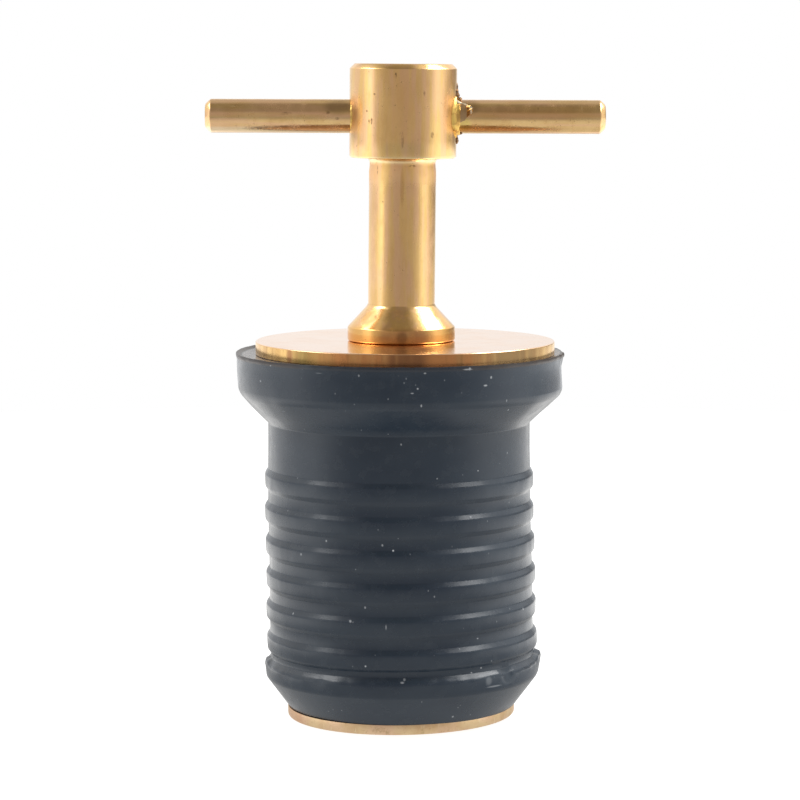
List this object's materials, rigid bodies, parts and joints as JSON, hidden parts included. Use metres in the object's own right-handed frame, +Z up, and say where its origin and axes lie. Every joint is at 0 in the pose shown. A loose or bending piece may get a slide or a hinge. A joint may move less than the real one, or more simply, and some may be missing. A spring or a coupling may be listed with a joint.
{
  "type": "deck drain plug",
  "caption": "T-handled drain plug whose screw squeezes a ribbed rubber bung between brass washers, so that the bung swells and seals a deck drain.",
  "frame": {"origin": "centre of the bottom washer's underside, which the plug stands on", "axes": "+Z up the plug's axis from the bottom washer to the handle, X along the cross bar"},
  "size_m": [0.0458, 0.0378, 0.0754],
  "materials": {
    "satin_brass": "satin",
    "stud_brass": "satin",
    "bung_rubber": "satin",
    "washer_brass": "polished",
    "turned_brass": "polished",
    "bar_brass": "polished"
  },
  "bodies": {
    "base": {"bottom_washer": "satin_brass", "threaded_stud": "stud_brass", "rubber_body": "bung_rubber"},
    "clamp": {"top_washer": "washer_brass"},
    "handle": {"handle_stem": "turned_brass", "cross_bar": "bar_brass"}
  },
  "joints": [
    {"name": "clamp_slide", "type": "slide", "parent": "base", "child": "clamp", "axis": [0, 0, -1], "range_m": [0, 0.0038], "deforming": ["rubber_body"]},
    {"name": "handle_turn", "type": "hinge", "parent": "clamp", "child": "handle", "pos_m": [0, 0, 0.04375], "axis": [0, 0, -1], "range_deg": [0, 1710]}
  ],
  "couplings": [
    {"joint": "handle_turn", "follows": "clamp_slide", "rad_per_m": 7854}
  ]
}
